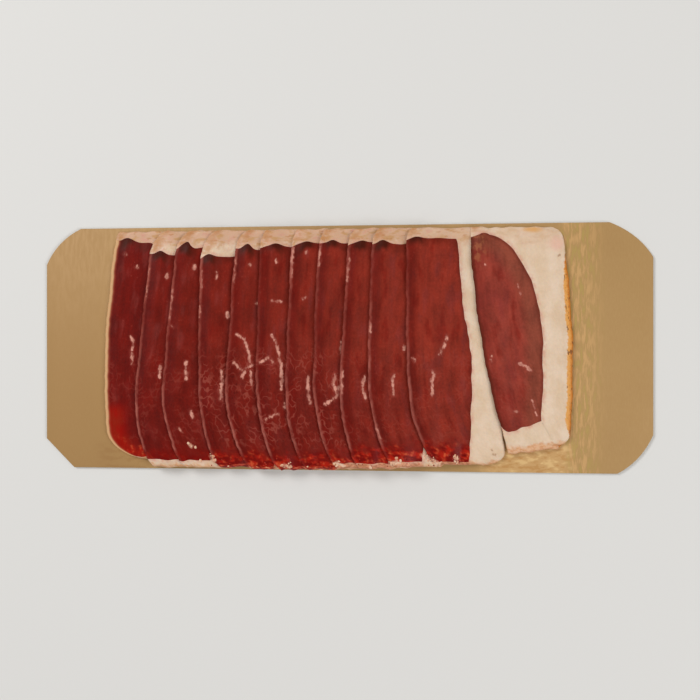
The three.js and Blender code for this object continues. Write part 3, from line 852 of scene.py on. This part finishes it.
# browned far border, in soft wavy patches, most of all at the corner by the lean edge
ragged = fat.plus(far_mm, fat.fade(blush, 0.3, 0.7, -1.8, 1.8))
tanned = fat.times(fat.fade(ragged, 9.5, 4), fat.fade(last, 0, 1, 1, 0.25))
for share, tint in (
    (0.75, (202, 154, 122)),
    (fat.fade(layer, 0.5, 0.66, 0, 0.8), (192, 144, 92)),
    (fat.fade(layer, 0.44, 0.3, 0, 0.7), (208, 150, 130)),
    (fat.fade(streak, 0.58, 0.7, 0, 0.6), (178, 116, 64)),
):
    fat.coat(fat.times(tanned, share), *tint)
fat.coat(fat.times(browned, fat.fade(streak, 0.3, 0.55, 0.15, 0.75)), 184, 124, 72)
fat.coat(fat.fade(golden, 0.2, 0.9, 0, 0.8), 216, 158, 88)
fat.coat(fat.fade(pinkish, 0.2, 0.9, 0, 0.5), 226, 170, 152)
# near band: red and orange under the juice, pale on the first slices, tan and half clear on the last
soak = fat.plus(near_mm, fat.fade(blush, 0.3, 0.7, -0.8, 0.8))
soak_depth = fat.fade(bloody, 0, 1, fat.fade(last, 0.8, 1, 1.4, 2.8), 4)
juice = fat.mix(fat.fade(lumps, 0.36, 0.6), colour(120, 14, 6), colour(186, 62, 30))
juice = fat.mix(fat.fade(lumps, 0.6, 0.72, 0, 0.8), juice, colour(222, 158, 118))
tan = fat.mix(fat.fade(lumps, 0.38, 0.6), colour(206, 148, 104), colour(220, 174, 136))
fat.coat(fat.fade(fat.maths("SUBTRACT", soak, soak_depth), 0.9, -1.2), fat.mix(bloody, tan, juice))
fray = fat.fade(fat.grain(1.4, 1.8, 23, 2, 0.6), 0.2, 0.8, -0.6, 0.6)
fat.coat(fat.fade(fat.plus(scrap_mm, fray), 0.6, -0.5), 226, 188, 160)
# skin, with its pores, and brown spots on the fat
wavering = fat.plus(skin_mm, fat.fade(grain, 0.2, 0.8, -0.35, 0.35))
pores = fat.grain(1.1, 3, 37, 1)
skin = fat.mix(fat.fade(wavering, 0.1, 1.6), colour(196, 116, 26), colour(222, 158, 80))
skin = fat.mix(fat.fade(pores, 0.6, 0.68, 0, 0.85), skin, colour(118, 66, 22))
fat.coat(fat.fade(fat.maths("SUBTRACT", skin_width, wavering), -0.3, 0.3), skin)
fat.coat(fat.fade(fat.plus(spot_mm, fray), 0.5, -0.4, 0, 0.65), 146, 92, 54)
fat.set("Base Color", fat.base)
fat.set("Roughness", fat.fade(cloud, 0.2, 0.8, 0.36, 0.52))
fat.relief(fat.plus(grain, fat.times(cloud, 1.5)), 0.14, 0.5)

# Brown spots on the last two slices, in the same terms as the scraps.
SPOTS = [
    (0.35, (62.2, -42.6), (62.8, -42.8)),
    (0.25, (61.4, -40.6), (61.6, -40.9)),
    (0.3, (88, 37), (88.4, 36.6)),
    (0.5, (92.4, -33.2), (92.8, -34.2)),
    (0.4, (94, -10.5), (94.2, -11.6)),
    (0.2, (93.2, 22), (93.4, 12)),
]


def patch(x, y, middle, reach):
    """1 at the middle of a soft round patch, and next to nothing past its reach."""
    return np.exp(-(((x - middle[0]) / reach[0]) ** 2) - ((y - middle[1]) / reach[1]) ** 2)


for number, shape in shapes.items():
    meat = meats[number]
    points = fat_points(shape, meat, number)
    rows, columns = points.shape[:2]
    corners, quads = plate(points, laid[number])
    x, y = corners[:, 0], corners[:, 1]
    index = np.arange(len(x))
    at_border = index % columns == 0
    corners[at_border, 2] -= SEAM * np.where(index < rows * columns, 1, -1)[at_border]
    border = np.vstack([meat[0, ::3], meat[1::4, -1], meat[-1, ::-3]])
    from_edge = x - shape.lean_edge(y)
    bloody = smooth(shape.meat_edge(y) + 0.5 - x, -1.0, 1.0) * (3 < number < LAST)
    skin_width = SKIN_WIDTH * smooth(y, -38, -29) * smooth(y, 42, 24) - 0.4
    same = np.ones(len(x))
    measures = dict(
        lie=np.column_stack([x - shape.lean_line(y), y, 10.0 * number * same]),
        last={LAST: 1.0, LAST - 1: 0.45}.get(number, 0.0) * same,
        border_mm=line_distance(x, y, border),
        skin_mm=shape.skin_edge(y) - x,
        far_mm=shape.far_end(x) - y,
        near_mm=y - shape.near_end(x),
        skin_width=skin_width if number == LAST else -same,
        browned=np.exp(-(((from_edge - 1.5) / 2.6) ** 2)) * smooth(y - shape.meat_far, 0.2, 2.0),
        bloody=bloody * 0.45 if number > 7 else bloody,
        golden=patch(x, y, (77.5, 47.3), (4.6, 1.4)) * (number == LAST),
        pinkish=patch(x, y, (87.2, 41.5), (3.4, 3.6)) * (number == LAST),
        spot_mm=stroke_distance(x, y, SPOTS),
        scrap_mm=stroke_distance(x, y, SCRAPS),
    )
    label = f"slice_{number:02d}_fat"
    add_piece(f"duck_{label}", corners, quads, fat, (label,), measures)

# ---- Crumbs, beads and pores ----
# What a slicer leaves behind: crumbs of white fat and beads of meat juice along the near ends, and the pores
# of the browned skin. They lie loose or stand slightly proud of what they are on.

PATCH_SUNK = 0.12  # by which their middles are below the surface
STRETCH = (0.7, 0.6, 1.0), (1.5, 1.1, 1.0)  # the least and the most of a grain's own shape
TURN = (-0.3, -0.3, 0.0), (0.3, 0.3, math.tau)  # and of its turn
strewn = bpy.data.node_groups.new("strewn_grains", "GeometryNodeTree")
for kind, labels in {
    "Geometry": ["Patch"],
    "Float": ["Grains per square metre", "Smallest radius", "Largest radius", "Flatness"],
    "Int": ["Roundness", "Seed"],
    "Material": ["Finish"],
}.items():
    for label in labels:
        strewn.interface.new_socket(label, in_out="INPUT", socket_type=f"NodeSocket{kind}")
strewn.interface.new_socket("Grains", in_out="OUTPUT", socket_type="NodeSocketGeometry")

grains = Wiring(strewn)
given = grains.node("NodeGroupInput").outputs
weight = grains.node("GeometryNodeInputNamedAttribute", {"Name": "weight"}, data_type="FLOAT").outputs[0]
per_area = grains.times(weight, given["Grains per square metre"])
scattered = grains.node(
    "GeometryNodeDistributePointsOnFaces",
    {"Mesh": given["Patch"], "Density": per_area, "Seed": given["Seed"]},
    distribute_method="RANDOM",
).outputs["Points"]
size = grains.node(
    "FunctionNodeRandomValue",
    {2: given["Smallest radius"], 3: given["Largest radius"], "Seed": given["Seed"]},
    data_type="FLOAT",
).outputs[1]
stretch, turn = (
    grains.node("FunctionNodeRandomValue", {"Min": least, "Max": most}, data_type="FLOAT_VECTOR").outputs[0]
    for least, most in (STRETCH, TURN)
)
flattened = grains.node("ShaderNodeCombineXYZ", {"X": 1.0, "Y": 1.0, "Z": given["Flatness"]}).outputs[0]
for factor in (stretch, flattened):
    size = grains.node("ShaderNodeVectorMath", {0: size, 1: factor}, operation="MULTIPLY").outputs[0]
ball = grains.node("GeometryNodeMeshIcoSphere", {"Radius": 1.0, "Subdivisions": given["Roundness"]})
ball = grains.node("GeometryNodeSetShadeSmooth", {0: ball.outputs["Mesh"]}).outputs[0]
at_points = {"Points": scattered, "Instance": ball, "Rotation": turn, "Scale": size}
placed = grains.node("GeometryNodeInstanceOnPoints", at_points).outputs[0]
realized = grains.node("GeometryNodeRealizeInstances", {0: placed}).outputs[0]
coated = grains.node("GeometryNodeSetMaterial", {"Geometry": realized, "Material": given["Finish"]})
grains.node("NodeGroupOutput", {0: coated.outputs[0]})


def strew(name, x, y, weights, finish, slot, *settings):
    """Grains over a patch of the ground: rows of plan points, and how likely a grain is at each.

    The settings are the tree's: grains per square metre, the radii in metres, flatness, roundness and seed.
    """
    rows, columns = x.shape
    z = height_at(ground, x, y) - PATCH_SUNK
    at = np.arange(rows * columns).reshape(rows, columns)
    quads = np.stack([at[:-1, :-1], at[:-1, 1:], at[1:, 1:], at[1:, :-1]], -1).reshape(-1, 4)
    mesh = bpy.data.meshes.new(name)
    points = np.column_stack([x.ravel(), y.ravel(), z.ravel()]) * MM
    mesh.from_pydata(points.tolist(), [], quads.tolist())
    mesh.attributes.new("weight", "FLOAT", "POINT").data.foreach_set("value", weights.ravel())
    piece = put(name, mesh)
    modifier = piece.modifiers.new("strewn", "NODES")
    modifier.node_group = strewn
    inputs = [item for item in strewn.interface.items_tree if item.in_out == "INPUT"][1:]
    for item, value in zip(inputs, (*settings, finish.material)):
        modifier[item.identifier] = value
    whole = piece.evaluated_get(bpy.context.evaluated_depsgraph_get())
    grown = bpy.data.meshes.new_from_object(whole)
    piece.modifiers.remove(modifier)
    piece.data = grown
    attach(piece, "root")


# The strip along the near ends, how far inside a slice's near end it is, and where it crosses the meat.
near_x, near_y = np.meshgrid(np.arange(-78, 53.1, 0.5), np.arange(-48.4, -38, 0.4))
inside_mm = np.full(near_x.shape, -1.0)
for shape in shapes.values():
    within = (near_x > shape.lean_edge(near_y) + 0.4) & (near_x < shape.skin_edge(near_y) - 0.4)
    inside_mm = np.where(within, near_y - shape.near_end(near_x), inside_mm)
on_meat = (inside_mm > 0.6) * smooth(near_x, 53, 50)
patchy = np.clip(0.5 + 0.5 * swell(301, 5, 14)(near_x, near_y), 0, 1)

bead = Finish("meat_juice_bead", Roughness=0.22, Specular_IOR_Level=0.3)
bead_tone = bead.fade(bead.noise(bead.place(), (1.3, 1.3, 1.3), 1.0), 0.35, 0.65)
bead.set("Base Color", bead.mix(bead_tone, colour(130, 12, 6), colour(180, 46, 22)))
beaded = on_meat * smooth(inside_mm, 6.0, 1.5) * patchy * smooth(near_x, -60, -48)
bead_settings = (4e5, 0.18 * MM, 0.45 * MM, 0.6, 1, 5)
strew("duck_juice_beads", near_x, near_y, beaded, bead, "duck_lean", *bead_settings)

crumb = Finish("crumb_of_fat", Roughness=0.5, Specular_IOR_Level=0.25)
crumb_tone = crumb.fade(crumb.noise(crumb.place(), (1.6, 1.6, 1.6), 2.0), 0.35, 0.65)
crumb.set("Base Color", crumb.mix(crumb_tone, colour(226, 190, 160), colour(214, 150, 116)))
by_scrap = smooth(stroke_distance(near_x, near_y, SCRAPS), 1.6, 0.2)
crumbly = on_meat * np.maximum(by_scrap, 0.06 * smooth(inside_mm, 4.0, 1.0))
crumb_settings = (6e5, 0.35 * MM, 0.75 * MM, 0.4, 2, 11)
strew("duck_fat_crumbs", near_x, near_y, crumbly, crumb, "duck_fat", *crumb_settings)

# The strip along the last slice's skin.
skin_y, skin_in = np.meshgrid(np.linspace(30, -34, 129), np.linspace(0.5, 1.7, 4))
skin_x = shapes[LAST].skin_edge(skin_y) - skin_in
pore = Finish("pore_of_the_skin", Roughness=0.5)
pore_tone = pore.noise(pore.place(), (2, 2, 2), 1.0)
pore.set("Base Color", pore.mix(pore_tone, colour(196, 120, 40), colour(126, 70, 22)))
porous = np.clip(swell(302, 4, 12)(skin_x, skin_y) + 0.6, 0, 1)
pore_settings = (1.2e6, 0.15 * MM, 0.34 * MM, 0.6, 1, 3)
strew("duck_skin_pores", skin_x, skin_y, porous, pore, "duck_fat", *pore_settings)

# ---- Table, light and camera ----
# The pack lies on a plain pale table, under two wide soft lamps and a pale room, and is seen from almost
# straight above, a little to the right.

CAMERA_DISTANCE, CAMERA_LEAN = 550 * MM, math.asin(0.136)
CAMERA_AIM = (3.7 * MM, -0.82 * MM)  # the point of the card under the picture's middle
FOCAL_LENGTH, SENSOR = 69.2, 36.0
TABLE_REACH, TABLE_TOP = 1.5, -2e-5  # just below the card, so that the two don't flicker

SIDES = ((-1, -1), (1, -1), (1, 1), (-1, 1))
table_mesh = bpy.data.meshes.new("table")
table_corners = [(side_x * TABLE_REACH, side_y * TABLE_REACH, TABLE_TOP) for side_x, side_y in SIDES]
table_mesh.from_pydata(table_corners, [], [(0, 1, 2, 3)])
table = put("table", table_mesh)
table_finish = Finish("pale_table", Roughness=0.7, Base_Color=(0.72, 0.71, 0.69, 1))
table_mesh.materials.append(table_finish.material)


def soft_lamp(name, place, size, watts):
    lamp = bpy.data.lights.new(name, "AREA")
    lamp.shape, lamp.size, lamp.energy = "DISK", size, watts
    lamp_object = put(name, lamp)
    lamp_object.location = place
    lamp_object.rotation_euler = (-lamp_object.location).to_track_quat("-Z", "Y").to_euler()


soft_lamp("lamp_far_left", (-1.0, 0.75, 1.15), 0.8, 15.0)
soft_lamp("lamp_right", (1.1, -0.5, 1.0), 0.9, 9.0)

world = bpy.data.worlds.new("room")
bpy.context.scene.world = world
world.use_nodes = True
room_light = world.node_tree.nodes["Background"].inputs
room_light["Color"].default_value = (1.0, 0.99, 0.97, 1)
room_light["Strength"].default_value = 0.45

camera = put("camera", bpy.data.cameras.new("camera"))
camera.data.sensor_width, camera.data.lens = SENSOR, FOCAL_LENGTH
camera.data.clip_start, camera.data.clip_end = 0.01, 20
camera.location = (
    CAMERA_AIM[0] + CAMERA_DISTANCE * math.sin(CAMERA_LEAN),
    CAMERA_AIM[1],
    CAMERA_DISTANCE * math.cos(CAMERA_LEAN),
)
camera.rotation_euler = (0, CAMERA_LEAN, 0)
bpy.context.scene.camera = camera
bpy.context.scene.view_settings.view_transform = "Standard"
